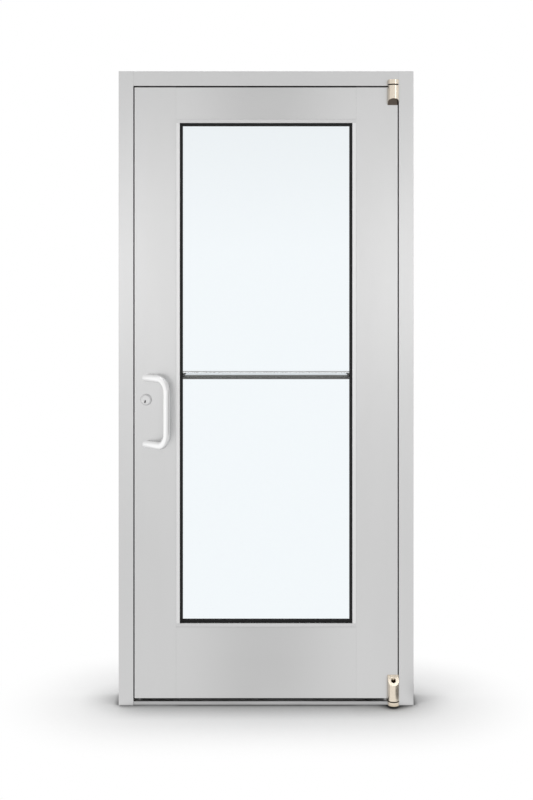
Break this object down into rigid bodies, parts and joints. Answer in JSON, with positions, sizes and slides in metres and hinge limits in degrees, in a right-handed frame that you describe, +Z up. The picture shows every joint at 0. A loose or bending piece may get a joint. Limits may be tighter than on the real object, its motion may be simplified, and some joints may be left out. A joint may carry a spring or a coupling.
{
  "type": "glass door",
  "caption": "Outward-swinging aluminium framed glass entrance door in its own frame, with offset pivots, pull handle, push bar and a pivoting bolt lock.",
  "frame": {"origin": "on the floor under the threshold, midway across the frame's width and depth", "axes": "+X to the right seen from the pull side, +Y into the building, +Z up"},
  "size_m": [1.016, 0.1991, 2.1844],
  "materials": {
    "anodised": "satin clear anodised",
    "threshold": "mill, ribbed",
    "door_stop": "satin clear anodised",
    "pile": "dark woven pile",
    "bead": "satin clear anodised",
    "gasket": "matt black",
    "glass": "clear tempered",
    "setting_block": "black",
    "inner_aluminium": "mill",
    "inner_steel": "zinc plated",
    "pivot_nickel": "satin nickel",
    "pivot_steel": "hardened, ground",
    "bushing": "oil-filled bronze",
    "screw_steel": "stainless",
    "pull_aluminium": "satin, polished along its length",
    "push_bar": "satin",
    "lock_plate": "stainless, satin",
    "lock_bolt": "laminated hardened steel",
    "cylinder": "satin chromium",
    "sweep_rubber": "matt black"
  },
  "bodies": {
    "frame": {"lock_jamb": "anodised", "pivot_jamb": "anodised", "header": "anodised", "threshold": "threshold", "lock_jamb_stop": "door_stop", "pivot_jamb_stop": "door_stop", "header_stop": "door_stop", "lock_weatherstrip": "pile", "pivot_weatherstrip": "pile", "header_weatherstrip": "pile", "header_clips": "inner_aluminium", "header_clip_screws": "inner_steel", "strike_plate": "lock_plate", "strike_screws": "screw_steel", "top_pivot_bracket": "pivot_nickel", "top_pivot_pin": "pivot_steel", "top_pivot_screws": "screw_steel", "bottom_pivot_base": "pivot_nickel", "bottom_pivot_pin": "pivot_steel", "bottom_pivot_screws": "screw_steel"},
    "leaf": {"lock_stile": "anodised", "pivot_stile": "anodised", "top_rail": "anodised", "bottom_rail": "anodised", "tie_rods": "inner_steel", "tie_rod_nuts": "inner_steel", "glass_pane": "glass", "setting_blocks": "setting_block", "outer_bottom_bead": "bead", "outer_top_bead": "bead", "outer_lock_bead": "bead", "outer_pivot_bead": "bead", "inner_bottom_bead": "bead", "inner_top_bead": "bead", "inner_lock_bead": "bead", "inner_pivot_bead": "bead", "outer_gasket": "gasket", "inner_gasket": "gasket", "pull_handle": "pull_aluminium", "push_bar": "push_bar", "push_bar_plugs": "inner_aluminium", "handle_bolts": "screw_steel", "top_pivot_knuckle": "pivot_nickel", "bottom_pivot_knuckle": "pivot_nickel", "pivot_bushings": "bushing", "adjusting_screw": "pivot_steel", "pivot_blocks": "inner_aluminium", "leaf_pivot_screws": "screw_steel", "lock_case": "inner_steel", "bolt_pivot_pin": "inner_steel", "lock_faceplate": "lock_plate", "faceplate_screws": "screw_steel", "cylinder_collars": "cylinder", "lock_cylinders": "cylinder", "bottom_sweep": "sweep_rubber", "sweep_carrier": "inner_aluminium"},
    "bolt": {"lock_bolt": "lock_bolt"},
    "key_plug": {"key_plug": "cylinder"},
    "thumb_turn": {"thumb_turn": "cylinder"}
  },
  "joints": [
    {"name": "door_swing", "type": "hinge", "parent": "frame", "child": "leaf", "pos_m": [0.4369, -0.0762, 0], "axis": [0, 0, 1], "range_deg": [0, 110]},
    {"name": "bolt_swing", "type": "hinge", "parent": "leaf", "child": "bolt", "pos_m": [-0.431, -0.03492, 0.995], "axis": [0, 1, 0], "range_deg": [0, 90]},
    {"name": "key_plug_rotation", "type": "hinge", "parent": "leaf", "child": "key_plug", "pos_m": [-0.41591, -0.05715, 1.047], "axis": [0, 1, 0], "range_deg": [0, 360]},
    {"name": "thumb_turn_rotation", "type": "hinge", "parent": "leaf", "child": "thumb_turn", "pos_m": [-0.4132, -0.0127, 1.0464], "axis": [0, 1, 0], "range_deg": [0, 360]}
  ],
  "couplings": [
    {"joint": "key_plug_rotation", "follows": "bolt_swing", "ratio": 4},
    {"joint": "thumb_turn_rotation", "follows": "bolt_swing", "ratio": 4}
  ]
}
